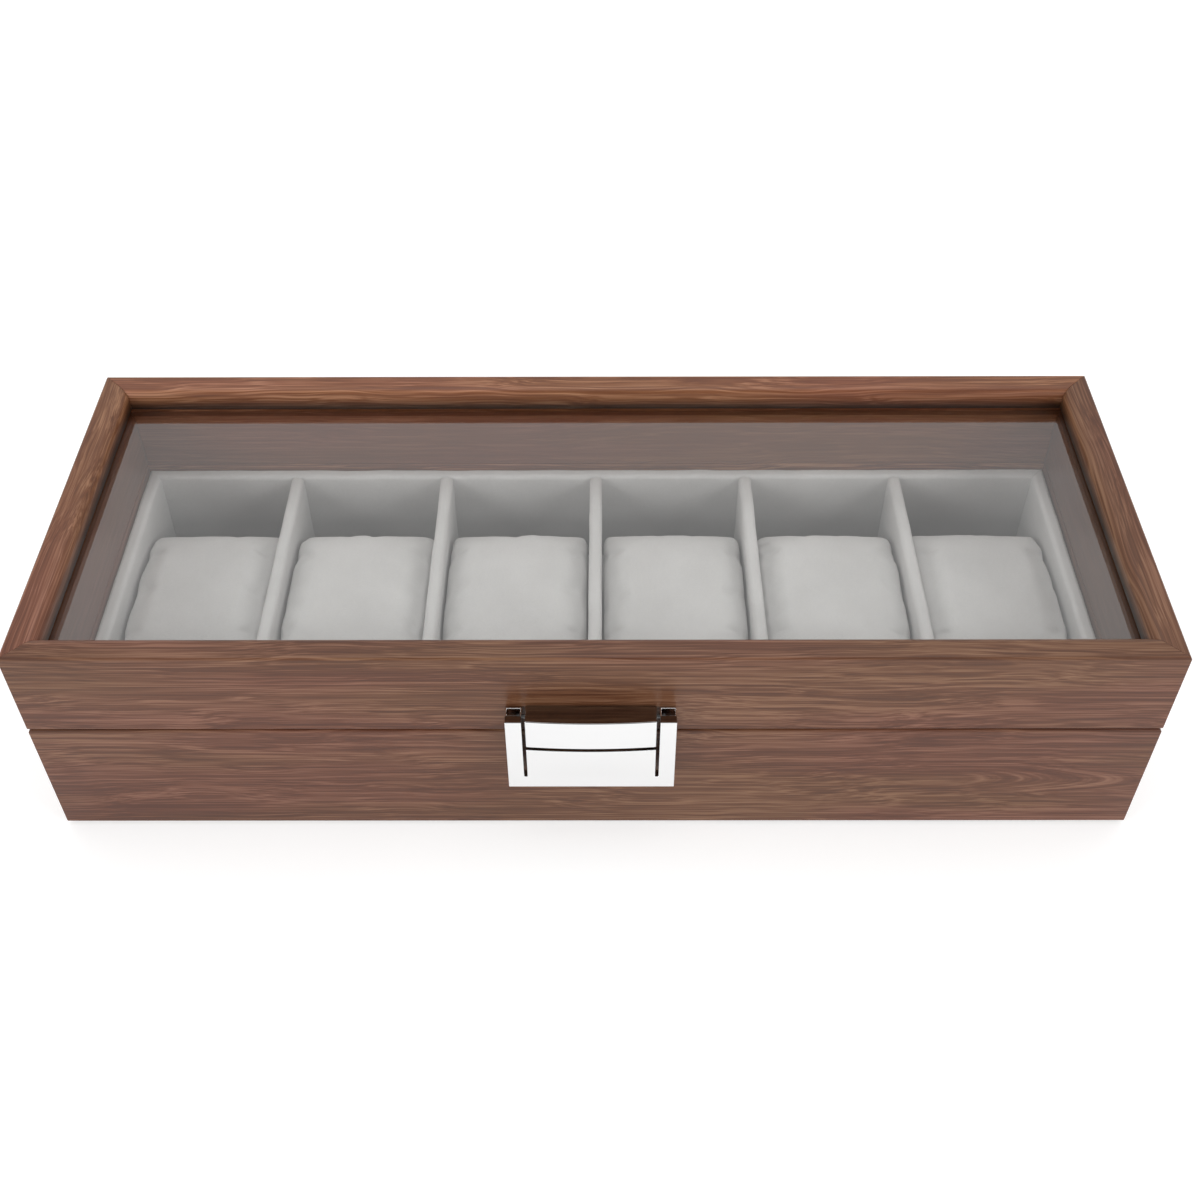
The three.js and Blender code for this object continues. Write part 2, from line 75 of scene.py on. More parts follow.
# The light. A softbox has a place and a size in metres, and a power in watts.
SOFTBOXES = {
    "overhead": ((0, 0.35, 1.5), 1.4, 9.6),
    "side_left": ((-0.8, -0.55, 0.6), 0.45, 3.6),
    "side_right": ((0.8, -0.55, 0.6), 0.45, 3.6),
}
SKY_MIDDLE = (0, 0.766, 0.643)  # the direction of the middle of the sky's bright part
SKY_STOPS = [(0.0, 0.1), (0.5, 0.1), (0.7, 0.21), (0.85, 0.54), (0.91, 0.65), (1.0, 0.65)]
FLOOR_GLOW = 0.52
FLOOR_TONES = [(0.3, 0.61), (0.7, 0.63)]
FLOOR_CLOUDS = (0.004, 0.004, 0.004)  # clouds per millimetre
FLOOR_FLAT = 1700  # radius of its flat part, in millimetres
FLOOR_BEND = 900  # radius of the bend round it
FLOOR_HEIGHT = 1500
FLOOR_SIDES = 96
FLOOR_BEND_STEPS = 24

# Shapes, in millimetres and degrees.
SHARP_ANGLE = 35
BEVEL_ANGLE = 40
METAL_SHARP_ANGLE = 30
EASED = 0.8  # outer edges of the boards
BOARD_SHORT = 0.15  # how much shorter the front board is than the box, at each end
LIP_ROUND = 2.8  # inner edge of the lid's frame
LID_BOARD = 6  # thickness of the lid's outer board, below the lip
LIP_DEPTH = 6.5
MITRE_GAP = 0.02
BOARD_BEVEL = 0.12
ARC_STEPS = 14
LEAF_REACH = 1.125  # how far a hinge leaf reaches from the middle of the seam
LEAF_ROOM = 0.15
CUT_PAST = 1  # how far a cut runs past the faces that it opens

TRAY_ROUND = 1.4  # edges of the velvet boards
TRAY_ARC_STEPS = 6
CLOTH_ROWS = 8
CLOTH_STEP = 2.5  # spacing of the points along a velvet board
CLOTH_WAVE = 0.16  # unevenness of the velvet over its board
NOISE_SEED = 1  # without it the noise starts from the clock, and differs from run to run
WAVE_SCALE = 0.09  # waves per millimetre
RIPPLE_SCALE = 0.3
RIPPLE_SHARE = 0.35  # a ripple's depth beside a wave's
SEED_STEP = (7.3, 3.1, 5.7)  # how far apart two pieces lie in the noise
DIVIDERS = 5
DIVIDER_SEED = 10
PILLOW_SEED = 20

PILLOWS = 6
PILLOW_POWER = 2.6
PILLOW_STEPS = 64
PILLOW_END_ROUND = 0.8  # rounding at its left and right ends
PILLOW_BAND = 9  # how far in from an end the pillow starts to fall
PILLOW_FALL = 0.2
PILLOW_SHRINK = Vector((0, 1.4, 1.2))  # how much smaller a pillow starts than its room
PILLOW_WAVE = 0.25
PILLOW_SWELL = 1.6  # the furthest that a point moves as the pillow fills
PILLOW_VOXEL = 1.6
PILLOW_PRESSURE = 4
SIMULATION_SCALE = 10  # a pillow is simulated this many times larger, where cloth behaves best
SIMULATION_FRAMES = 20

CLASP_BULGE = 0.7
CLASP_SHEET = 2.4
CLASP_ARM = 4.3
CLASP_SLIT = 0.85
CLASP_SLIT_BOTTOM = 29.7
CLASP_BEVEL = 0.3
FLAP_BEVEL = 0.18
TONGUE_TOP = 41.1
TONGUE_SLOPE = 0.8
TONGUE_ROWS = 10
SKIRT = 0.4  # thickness of a hollow arm's sides
SKIRT_WELD = 1  # how far they run into the plate
TAB = 0.4
TAB_HEIGHT = 3
TOP_BAND = 0.5  # how far below a clasp piece's top its upper faces may lie
UPWARD = 0.9  # the least Z of an upper face's normal
DOWNWARD = -0.5  # the greatest Z of a lower face's normal
BULGE_STEPS = 40

# The foil's colours, for its darkest, middle and lightest grain, and the tints of its patches.
FOIL_DARK = Vector((0.076, 0.024, 0.010))
FOIL_MID = Vector((0.114, 0.040, 0.0175))
FOIL_LIGHT = Vector((0.215, 0.100, 0.058))
FOIL_STOPS = (0.42, 0.50, 0.61)
FOIL_PATCHES = [(0.38, (1.0, 0.93, 0.98)), (0.62, (0.98, 1.04, 0.92))]
FOIL_GLOSS = [(0.3, 0.36), (0.7, 0.42)]
FOIL_IOR = 1.43

# The foil's figure: how fast each layer changes, per millimetre, along the grain and across it.
WANDER_SCALE = (0.014, 0.05, 0.05)
BAND_SCALE = (0.004, 0.11, 0.11)
STREAK_SCALE = (0.014, 0.6, 0.6)
LINE_SCALE = (0.02, 1.9, 1.9)
FIBRE_SCALE = (0.05, 2.4, 2.4)
PATCH_SCALE = (0.011, 0.06, 0.06)
WANDER = 8  # how far the grain wanders sideways, in millimetres
BAND_SHARE, STREAK_SHARE, LINE_SHARE, FIBRE_SHARE = 0.20, 0.26, 0.44, 0.10
ARCH_SHARE, ARCH_LINE_SHARE, ARCH_FIBRE_SHARE = 0.76, 0.19, 0.05
ARCH_WANDER = 3
ARCH_BEND = 0.8  # how sharply the arches turn
ARCH_SCALE = (0.11, 0.03)
ARCH_REACH = (32, 7)  # how far the arches reach from their middle, along the board and up
ARCH_MASK = [(0.15, 1.0), (1.0, 0.0)]  # how they fade out towards that

# Where each side's foil is cut from the sheet, how light it is, and the middle of its arches.
FOIL_SHIFTS = {"front": (0, 0, 0), "back": (37, 21, 60), "left": (140, 9, 33), "right": (61, -13, 84)}
FOIL_TONES = {"front": 1, "back": 1.8, "left": 1.38, "right": 1.05}
ARCH_MIDDLES = {"front": (128, 22), "back": (-70, 24), "left": (12, 22), "right": (-18, 18)}
LID_SHIFT = Vector((83, 12, 47))
PANEL_SHIFT = (11, 70, 5)
LINER_TONE = 0.85
LINER_CONTRAST = 0.4
# Painted shade: the lip's inner side darkens down towards the glass, as shares of the full colour by
# depth.
LIP_PAINTED_SHADE = [(LIP_DEPTH, 0.06), (5.3, 0.2), (4.2, 0.5), (LIP_ROUND, 0.9), (0.5, 1.0)]  # by depth

VELVET_TONES = [(0.3, (0.59, 0.585, 0.578)), (0.7, (0.73, 0.725, 0.718))]
VELVET_PILE = (2.6, 2.6, 2.6)
VELVET_CLOUDS = (0.05, 0.04, 0.06)
PILE_SHARE, CLOUD_SHARE = 0.45, 0.55
VELVET_STEP = Vector((50, 31, 0))  # from one pillow's piece of velvet to the next
# Painted shade: the tray's velvet darkens towards the bottom, as shares of its full colour by height.
TRAY_PAINTED_SHADE = [(20, 0.57), (30, 0.75), (37, 0.93), (39, 1.0)]  # by height

FELT_TONES = [(0.3, (0.012, 0.012, 0.012)), (0.7, (0.04, 0.038, 0.036))]
FELT_FIBRES = (1.5, 1.5, 1.5)

GLASS_TINT = (0.98, 0.98, 0.975, 1)
GLASS_IOR = 2.35  # higher than one face's, because it stands for both
GLASS_SMUDGES = [(0.3, 0.0), (0.8, 0.03)]
SMUDGE_SCALE = (0.03, 0.03, 0.03)

# Each metal's colour, roughness, and the scale of its fine texture.
METALS = {
    "chrome": ((0.82, 0.824, 0.826), 0.06, (0.3, 0.3, 0.3)),
    # Painted reflection: dark chrome on the clasp's top faces, standing in for the dark wood that they
    # mirror.
    "chrome_painted_dark_reflection": ((0.30, 0.29, 0.28), 0.1, (0.3, 0.3, 0.3)),
    "nickel": ((0.62, 0.60, 0.56), 0.28, (0.2, 6, 6)),
    "steel": ((0.5, 0.49, 0.47), 0.35, (1, 5, 5)),
    "dark_steel": ((0.1, 0.1, 0.1), 0.35, (1, 5, 5)),
}
METAL_GLOSS = [(0.3, 0.8), (0.7, 1.25)]  # shares of the metal's roughness


# ---------------------------------------------------------------- shapes


def arc(centre, radius, start, end, steps=ARC_STEPS):
    """Points along an arc, from one angle to another, in degrees."""
    angles = [math.radians(start + (end - start) * i / steps) for i in range(steps + 1)]
    return [(centre[0] + radius * math.cos(a), centre[1] + radius * math.sin(a)) for a in angles]


def size_of(node):
    """A CAD node's lowest and highest corners, in millimetres."""
    low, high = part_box(node)
    return low / MM, high / MM


def box_sides():
    """Each side's quarter turn, its distance from the middle, and half of its length."""
    low, high = size_of("base_front_wall")
    half_width = high.x + BOARD_SHORT
    half_depth = -low.y
    return {
        "front": (0, half_depth, half_width),
        "right": (1, half_width, half_depth),
        "back": (2, half_depth, half_width),
        "left": (3, half_width, half_depth),
    }


SIDES = box_sides()


def new_object(name, bm):
    """An object from a bmesh in millimetres, smooth except at its sharp edges."""
    bmesh.ops.recalc_face_normals(bm, faces=bm.faces)
    bm.transform(Matrix.Scale(MM, 4))
    mesh = bpy.data.meshes.new(name)
    bm.to_mesh(mesh)
    bm.free()
    mesh.shade_smooth()
    mesh.set_sharp_from_angle(angle=math.radians(SHARP_ANGLE))
    made = bpy.data.objects.new(name, mesh)
    bpy.context.scene.collection.objects.link(made)
    return made


def tube_of(bm, rings):
    """Closes rings of points into one solid, with a face at each end."""
    rows = [[bm.verts.new(point) for point in ring] for ring in rings]
    for near, far in zip(rows, rows[1:]):
        for i in range(len(near)):
            j = (i + 1) % len(near)
            bm.faces.new((near[i], near[j], far[j], far[i]))
    bm.faces.new(rows[0])
    bm.faces.new(rows[-1])


def board(name, section, side, steps=1):
    """A board on one side of the box. Its section holds points in from the outer face, and up."""
    quarter, out, half_span = SIDES[side]
    bm = bmesh.new()
    rings = []
    for k in range(steps + 1):
        share = 2 * k / steps - 1
        rings.append([(share * (half_span - y - MITRE_GAP), y - out, z) for y, z in section])
    tube_of(bm, rings)
    bm.transform(Matrix.Rotation(math.radians(90 * quarter), 4, "Z"))
    return new_object(name, bm)


def box_in(bm, low, high):
    """Adds a closed box between two corners."""
    low, high = Vector(low), Vector(high)
    place = Matrix.Translation((low + high) / 2) @ Matrix.Diagonal((*(high - low), 1))
    bmesh.ops.create_cube(bm, size=1, matrix=place)


def bevel(piece, width, segments=2):
    """Rounds the sharp edges of a piece and keeps its flat faces flat."""
    made = piece.modifiers.new("edges", "BEVEL")
    made.width = width * MM
    made.segments = segments
    made.limit_method = "ANGLE"
    made.angle_limit = math.radians(BEVEL_ANGLE)
    made.harden_normals = True
    flat = piece.modifiers.new("flat_faces", "WEIGHTED_NORMAL")
    flat.keep_sharp = True


def apply_modifiers(piece):
    """Makes what a piece's modifiers do part of its mesh."""
    bpy.context.view_layer.update()
    shown = piece.evaluated_get(bpy.context.evaluated_depsgraph_get())
    piece.data = bpy.data.meshes.new_from_object(shown)
    piece.modifiers.clear()


def cut_away(piece, boxes):
    """Cuts boxes out of a piece."""
    bm = bmesh.new()
    for low, high in boxes:
        box_in(bm, low, high)
    cutter = new_object("cutter", bm)
    made = piece.modifiers.new("cut", "BOOLEAN")
    made.operation = "DIFFERENCE"
    made.object = cutter
    made.solver = "EXACT"
    apply_modifiers(piece)
    bpy.data.objects.remove(cutter)


def uneven(piece, amount, seed):
    """Moves the points of a cloth-wrapped piece slightly, as the velvet does over its board."""
    offset = Vector([step * seed for step in SEED_STEP])
    for vertex in piece.data.vertices:
        here = vertex.co / MM
        shift = noise.noise_vector(here * WAVE_SCALE + offset) * amount
        shift += noise.noise_vector(here * RIPPLE_SCALE + offset) * amount * RIPPLE_SHARE
        vertex.co += shift * MM


# ---------------------------------------------------------------- materials


class Shader:
    """The nodes of a material or a world, added one by one."""

    def __init__(self, owner):
        self.owner = owner
        owner.use_nodes = True
        self.tree = owner.node_tree
        self.tree.nodes.clear()

    def node(self, kind, inputs=None, **settings):
        made = self.tree.nodes.new("ShaderNode" + kind)
        for key, value in settings.items():
            setattr(made, key, value)
        for key, value in (inputs or {}).items():
            if isinstance(value, bpy.types.NodeSocket):
                self.tree.links.new(value, made.inputs[key])
            else:
                made.inputs[key].default_value = value
        return made

    def coordinates(self, scale=(1, 1, 1), shift=(0, 0, 0), turn=(0, 0, 0)):
        """The piece's own coordinates in millimetres, turned, then moved, then scaled."""
        own = self.node("TexCoord").outputs["Object"]
        to_mm = {"Vector": own, "Scale": (1 / MM,) * 3, "Rotation": turn, "Location": shift}
        placed = self.node("Mapping", to_mm).outputs["Vector"]
        return self.stretched(placed, scale)

    def stretched(self, vector, scale):
        return self.node("Mapping", {"Vector": vector, "Scale": scale}).outputs["Vector"]

    def parts(self, vector):
        """A vector's X, Y and Z."""
        return self.node("SeparateXYZ", {"Vector": vector}).outputs

    def noise(self, vector, detail=2, roughness=0.5):
        inputs = {"Vector": vector, "Scale": 1, "Detail": detail, "Roughness": roughness}
        return self.node("TexNoise", inputs).outputs["Fac"]

    def math(self, operation, a, b):
        return self.node("Math", {0: a, 1: b}, operation=operation).outputs[0]

    def squared(self, value):
        return self.math("MULTIPLY", value, value)

    def blend(self, parts):
        """The weighted sum of several values."""
        total = None
        for value, weight in parts:
            part = self.math("MULTIPLY", value, weight)
            total = part if total is None else self.math("ADD", total, part)
        return total

    def ramp(self, factor, stops):
        """A colour or a grey for each factor. The stops are factors, and colours or greys."""
        made = self.node("ValToRGB", {"Fac": factor})
        elements = made.color_ramp.elements
        while len(elements) < len(stops):
            elements.new(0.5)
        for element, (position, value) in zip(elements, stops):
            element.position = position
            element.color = (*value, 1) if isinstance(value, tuple) else (value, value, value, 1)
        return made.outputs["Color"]

    def tinted(self, colour, tint):
        """A colour multiplied by another. A Mix node has its colours at these places."""
        factor, first, second, result = 0, 6, 7, 2
        inputs = {factor: 1.0, first: colour, second: tint}
        made = self.node("Mix", inputs, data_type="RGBA", blend_type="MULTIPLY")
        return made.outputs[result]

    def darkened_by_painted_shade(self, colour, stops):
        """A colour darkened with painted shade that depends on height. The stops are heights in
        millimetres and shares.
        """
        height = self.parts(self.coordinates())["Z"]
        lowest, highest = stops[0][0], stops[-1][0]
        share = self.math("DIVIDE", self.math("SUBTRACT", height, lowest), highest - lowest)
        placed = [((z - lowest) / (highest - lowest), value) for z, value in stops]
        return self.tinted(colour, self.ramp(share, placed))

    def bump(self, height, depth, strength=1):
        inputs = {"Height": height, "Distance": depth * MM, "Strength": strength}
        return self.node("Bump", inputs).outputs["Normal"]

    def surface(self, inputs):
        shader = self.node("BsdfPrincipled", inputs)
        return self.finish(shader.outputs[0])

    def finish(self, closure):
        self.node("OutputMaterial", {"Surface": closure})
        return self.owner


def material_of(name):
    """The empty shader of a new material."""
    return Shader(bpy.data.materials.new(name))


def arch_figure(s, place, middle, wander):
    """The nested arches where a growth ring comes up through the face: their value and their mask."""
    parts = s.parts(place)
    along = s.math("SUBTRACT", parts["X"], middle[0])
    level = s.math("SUBTRACT", parts["Z"], middle[1])
    up = s.math("ADD", level, s.math("MULTIPLY", wander, ARCH_WANDER))
    arch = s.math("ADD", along, s.math("MULTIPLY", s.squared(up), ARCH_BEND))
    slow_arch = s.math("MULTIPLY", arch, ARCH_SCALE[0])
    slow_up = s.math("MULTIPLY", up, ARCH_SCALE[1])
    lines = s.node("CombineXYZ", {"X": slow_arch, "Y": slow_up}).outputs[0]
    value = s.noise(lines, detail=3, roughness=0.6)
    far_along = s.squared(s.math("DIVIDE", along, ARCH_REACH[0]))
    far_up = s.squared(s.math("DIVIDE", up, ARCH_REACH[1]))
    far = s.math("ADD", far_along, far_up)
    return value, s.ramp(far, ARCH_MASK)


def foil(name, along, shift, tone=1, contrast=1, arches=None, painted_shade=None):
    """Walnut-look foil with its grain along X or Y. arches is the middle of its arched figure.

    Its last argument gives painted shade: shares of the full colour at rising heights, darkest next to
    the glass.
    """
    s = material_of(name)
    turn = (0, 0, 0 if along == "X" else math.radians(90))
    face = s.coordinates(turn=turn)
    place = s.node("Mapping", {"Vector": face, "Location": shift}).outputs["Vector"]
    wander = s.noise(s.stretched(place, WANDER_SCALE), detail=2)
    reach = s.math("MULTIPLY", wander, WANDER)
    sideways = s.node("CombineXYZ", {"Y": reach, "Z": reach}).outputs[0]
    bent = s.node("VectorMath", {0: place, 1: sideways}, operation="ADD").outputs[0]
    bands = s.noise(s.stretched(bent, BAND_SCALE), detail=2)
    streaks = s.noise(s.stretched(bent, STREAK_SCALE), detail=2, roughness=0.6)
    lines = s.noise(s.stretched(bent, LINE_SCALE), detail=2, roughness=0.65)
    fibres = s.noise(s.stretched(bent, FIBRE_SCALE), detail=1)
    figure = s.blend([
        (bands, BAND_SHARE),
        (streaks, STREAK_SHARE),
        (lines, LINE_SHARE),
        (fibres, FIBRE_SHARE),
    ])
    if arches:
        value, mask = arch_figure(s, face, arches, wander)
        arched = s.blend([
            (value, ARCH_SHARE),
            (lines, ARCH_LINE_SHARE),
            (fibres, ARCH_FIBRE_SHARE),
        ])
        change = s.math("SUBTRACT", arched, figure)
        figure = s.math("ADD", figure, s.math("MULTIPLY", mask, change))
    shades = [FOIL_MID.lerp(shade, contrast) * tone for shade in (FOIL_DARK, FOIL_MID, FOIL_LIGHT)]
    colour = s.ramp(figure, [(at, tuple(shade)) for at, shade in zip(FOIL_STOPS, shades)])
    patches = s.noise(s.stretched(place, PATCH_SCALE), detail=1)
    colour = s.tinted(colour, s.ramp(patches, FOIL_PATCHES))
    # Painted shade: darker lower down, by height.
    if painted_shade:
        colour = s.darkened_by_painted_shade(colour, painted_shade)
    return s.surface({
        "Base Color": colour,
        "Roughness": s.ramp(fibres, FOIL_GLOSS),
        "IOR": FOIL_IOR,
        "Normal": s.bump(fibres, depth=0.02, strength=0.2),
    })


def velvet(name, shift=(0, 0, 0), painted_shade=None):
    """Short-pile velvet: fine fibres, soft clouds where the pile lies over, and a light sheen."""
    s = material_of(name)
    place = s.coordinates(shift=shift)
    pile = s.noise(s.stretched(place, VELVET_PILE), detail=2, roughness=0.7)
    clouds = s.noise(s.stretched(place, VELVET_CLOUDS), detail=3)
    colour = s.ramp(s.blend([(pile, PILE_SHARE), (clouds, CLOUD_SHARE)]), VELVET_TONES)
    # Painted shade: the velvet darkens towards the bottom, by height.
    if painted_shade:
        colour = s.darkened_by_painted_shade(colour, painted_shade)
    return s.surface({
        "Base Color": colour,
        "Roughness": 1.0,
        "Specular IOR Level": 0.1,
        "Sheen Weight": 0.25,
        "Sheen Roughness": 0.5,
        "Sheen Tint": (0.9, 0.9, 0.9, 1),
        "Normal": s.bump(pile, depth=0.1, strength=0.35),
    })


def felt():
    """Black felt with coarse fibres."""
    s = material_of("felt")
    fibres = s.noise(s.coordinates(scale=FELT_FIBRES), detail=4, roughness=0.8)
    return s.surface({
        "Base Color": s.ramp(fibres, FELT_TONES),
        "Roughness": 1.0,
        "Normal": s.bump(fibres, depth=0.3, strength=0.8),
    })


def plated(name, colour, dull, grain):
    """A plated metal. dull is its roughness, and grain the scale of its fine texture."""
    s = material_of(name)
    texture = s.noise(s.coordinates(scale=grain), detail=2)
    return s.surface({
        "Base Color": (*colour, 1),
        "Metallic": 1.0,
        "Roughness": s.ramp(texture, [(at, dull * share) for at, share in METAL_GLOSS]),
        "Normal": s.bump(texture, depth=0.01, strength=dull),
    })


def glass():
    """Clear glass: what is behind it shows through. Its outer face mirrors the light for both faces."""
    s = material_of("glass")
    smudge = s.noise(s.coordinates(scale=SMUDGE_SCALE), detail=3)
    clear = s.node("BsdfTransparent", {"Color": GLASS_TINT})
    dull = s.ramp(smudge, GLASS_SMUDGES)
    mirror = s.node("BsdfGlossy", {"Color": (1, 1, 1, 1), "Roughness": dull})
    outward = s.math("SUBTRACT", 1, s.node("NewGeometry").outputs["Backfacing"])
    share = s.math("MULTIPLY", s.node("Fresnel", {"IOR": GLASS_IOR}).outputs[0], outward)
    mixed = s.node("MixShader", {0: share, 1: clear.outputs[0], 2: mirror.outputs[0]})
    return s.finish(mixed.outputs[0])


def dress(piece, material, body, slot, *nodes):
    """Gives a piece its material, its body and the CAD nodes that it stands for. Its slot is not used.
    """
    piece.data.materials.clear()
    piece.data.materials.append(material)
    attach(piece, body)
    if nodes:
        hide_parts(*nodes)


def repaint(piece, material, chosen):
    """Gives some faces of a piece another material."""
    piece.data.materials.append(material)
    for face in piece.data.polygons:
        if chosen(face):
            face.material_index = 1


# ---------------------------------------------------------------- boards


def base_section():
    """The base's board: square inside, with eased outer edges."""
    low, high = size_of("base_front_wall")
    wall = high.y - low.y
    upper = arc((EASED, high.z - EASED), EASED, 90, 180)
    lower = arc((EASED, low.z + EASED), EASED, 180, 270)
    return [(wall, low.z), (wall, high.z), *upper, *lower]


def rail_section():
    """The lid's board, whose lip reaches in over the glass."""
    low, high = size_of("lid_front_rail")
    lip = high.y - low.y
    inner = arc((lip - LIP_ROUND, high.z - LIP_ROUND), LIP_ROUND, 0, 90)
    upper = arc((EASED, high.z - EASED), EASED, 90, 180)
    lower = arc((EASED, low.z + EASED), EASED, 180, 270)
    under = high.z - LIP_DEPTH
    return [(LID_BOARD, low.z), (LID_BOARD, under), (lip, under), *inner, *upper, *lower]


def soft_section(near, far, low, high):
    """A cloth-wrapped board: rounded along its top edges."""
    shoulder = high - TRAY_ROUND
    heights = [low + (shoulder - low) * i / CLOTH_ROWS for i in range(1, CLOTH_ROWS)]
    points = [(near, low), (far, low)]
    points += [(far, z) for z in heights]
    points += arc((far - TRAY_ROUND, shoulder), TRAY_ROUND, 0, 90, TRAY_ARC_STEPS)
    points += arc((near + TRAY_ROUND, shoulder), TRAY_ROUND, 90, 180, TRAY_ARC_STEPS)
    points += [(near, z) for z in reversed(heights)]
    return points


def leaf_pockets(kind, up):
    """Boxes round the two hinge leaves in a board's edge. up is +1 in the lid and -1 in the base."""
    wall = size_of("base_back_wall")[1].y
    seam = (size_of("base_back_wall")[1].z + size_of("lid_back_rail")[0].z) / 2
    open_side = seam - up * CUT_PAST
    closed_side = seam + up * (LEAF_REACH + LEAF_ROOM)
    boxes = []
    for hinge in ("hinge_left", "hinge_right"):
        low, high = size_of(f"{hinge}_{kind}_leaf")
        boxes.append((
            (low.x - LEAF_ROOM, low.y - LEAF_ROOM, min(open_side, closed_side)),
            (high.x + LEAF_ROOM, wall + CUT_PAST, max(open_side, closed_side)),
        ))
    return boxes


def in_lip(side):
    """Chooses the faces on the inner side of a rail's lip, which take the painted shade."""
    quarter, out, _ = SIDES[side]
    low, high = size_of("lid_front_rail")
    upright = Matrix.Rotation(math.radians(-90 * quarter), 3, "Z")

    def chosen(face):
        here = upright @ face.center / MM
        inward = here.y + out > high.y - low.y - LIP_ROUND
        above = here.z > high.z - LIP_DEPTH
        facing_down = face.normal.z <= DOWNWARD
        return inward and above and not facing_down

    return chosen


def make_boards():
    top = size_of("lid_front_rail")[1].z
    # Painted shade on the lip's inner side, darkest next to the glass.
    painted_shade = [(top - depth, share) for depth, share in LIP_PAINTED_SHADE]
    for side in SIDES:
        along = "X" if side in ("front", "back") else "Y"
        tone = FOIL_TONES[side]
        shift = Vector(FOIL_SHIFTS[side])
        base_foil = foil(f"foil_base_{side}", along, shift, tone, arches=ARCH_MIDDLES[side])
        lid_foil = foil(f"foil_lid_{side}", along, shift + LID_SHIFT, tone)
        lip_painted_shade_foil = foil(f"foil_lip_painted_shade_{side}", along, shift + LID_SHIFT, tone, painted_shade=painted_shade)
        liner_foil = foil(f"foil_liner_{side}", along, shift, LINER_TONE * tone, LINER_CONTRAST)
        wall = board(f"base_{side}_board", base_section(), side)
        rail = board(f"lid_{side}_board", rail_section(), side)
        if side == "back":
            cut_away(wall, leaf_pockets("base", -1))
            cut_away(rail, leaf_pockets("lid", 1))
        bevel(wall, BOARD_BEVEL)
        bevel(rail, BOARD_BEVEL)
        dress(wall, base_foil, "base", "walnut", f"base_{side}_wall")
        dress(rail, lid_foil, "lid", "walnut", f"lid_{side}_rail")
        # The lip's inner faces get the foil with painted shade.
        repaint(rail, lip_painted_shade_foil, in_lip(side))
        dress(frame["nodes"][f"lid_{side}_liner"], liner_foil, "lid", "walnut")


def make_tray():
    # The walls' and dividers' velvet carries painted shade, darker towards the bottom.
    cloth = velvet("velvet_tray", painted_shade=TRAY_PAINTED_SHADE)
    low, high = size_of("tray_front_wall")
    front = SIDES["front"][1]
    section = soft_section(low.y + front, high.y + front, low.z, high.z)
    for index, side in enumerate(SIDES):
        steps = round(2 * SIDES[side][2] / CLOTH_STEP)
        wall = board(f"tray_{side}_velvet", section, side, steps)
        uneven(wall, CLOTH_WAVE, index)
        dress(wall, cloth, "base", "velvet", f"tray_{side}_wall")
    for i in range(1, DIVIDERS + 1):
        low, high = size_of(f"tray_divider_{i}")
        section = soft_section(low.x, high.x, low.z, high.z)
        steps = round((high.y - low.y) / CLOTH_STEP)
        rings = []
        for k in range(steps + 1):
            y = low.y + (high.y - low.y) * k / steps
            rings.append([(x, y, z) for x, z in section])
        bm = bmesh.new()
        tube_of(bm, rings)
        divider = new_object(f"divider_{i}_velvet", bm)
        uneven(divider, CLOTH_WAVE, DIVIDER_SEED + i)
        dress(divider, cloth, "base", "velvet", f"tray_divider_{i}")
    dress(frame["nodes"]["tray_floor"], velvet("velvet_tray_floor"), "base", "velvet")


# ---------------------------------------------------------------- pillows


def end_inset(depth):
    """How far a pillow's section draws in at a distance from its end: a slow fall, then a round edge."""
    inset = PILLOW_FALL * max(1 - depth / PILLOW_BAND, 0) ** 2
    if depth < PILLOW_END_ROUND:
        across = PILLOW_END_ROUND - depth
        inset += PILLOW_END_ROUND - math.sqrt(PILLOW_END_ROUND**2 - across**2)
    return inset


def pillow_rings(low, high):
    """Rings round a pillow, from its left end to its right. Each is a superellipse in Y and Z."""
    centre = (low + high) / 2
    half = (high - low) / 2 - PILLOW_SHRINK
    rings = []
    for i in range(PILLOW_STEPS + 1):
        x = -half.x * math.cos(math.pi * i / PILLOW_STEPS)
        inset = end_inset(half.x - abs(x))
        ring = []
        for k in range(PILLOW_STEPS):
            angle = 2 * math.pi * (k + 0.5) / PILLOW_STEPS
            c, s = math.cos(angle), math.sin(angle)
            y = math.copysign(abs(c) ** (2 / PILLOW_POWER), c) * (half.y - inset)
            z = math.copysign(abs(s) ** (2 / PILLOW_POWER), s) * (half.z - inset)
            ring.append((centre.x + x, centre.y + y, centre.z + z))
        rings.append(ring)
    return rings


def remesh(piece, voxel):
    """Rebuilds a piece's mesh from even squares."""
    made = piece.modifiers.new("remesh", "REMESH")
    made.mode = "VOXEL"
    made.voxel_size = voxel * MM
    apply_modifiers(piece)


def subdivide(piece):
    """Splits each face of a piece into four and smooths them."""
    made = piece.modifiers.new("smooth", "SUBSURF")
    made.levels = 1
    made.render_levels = 1
    apply_modifiers(piece)


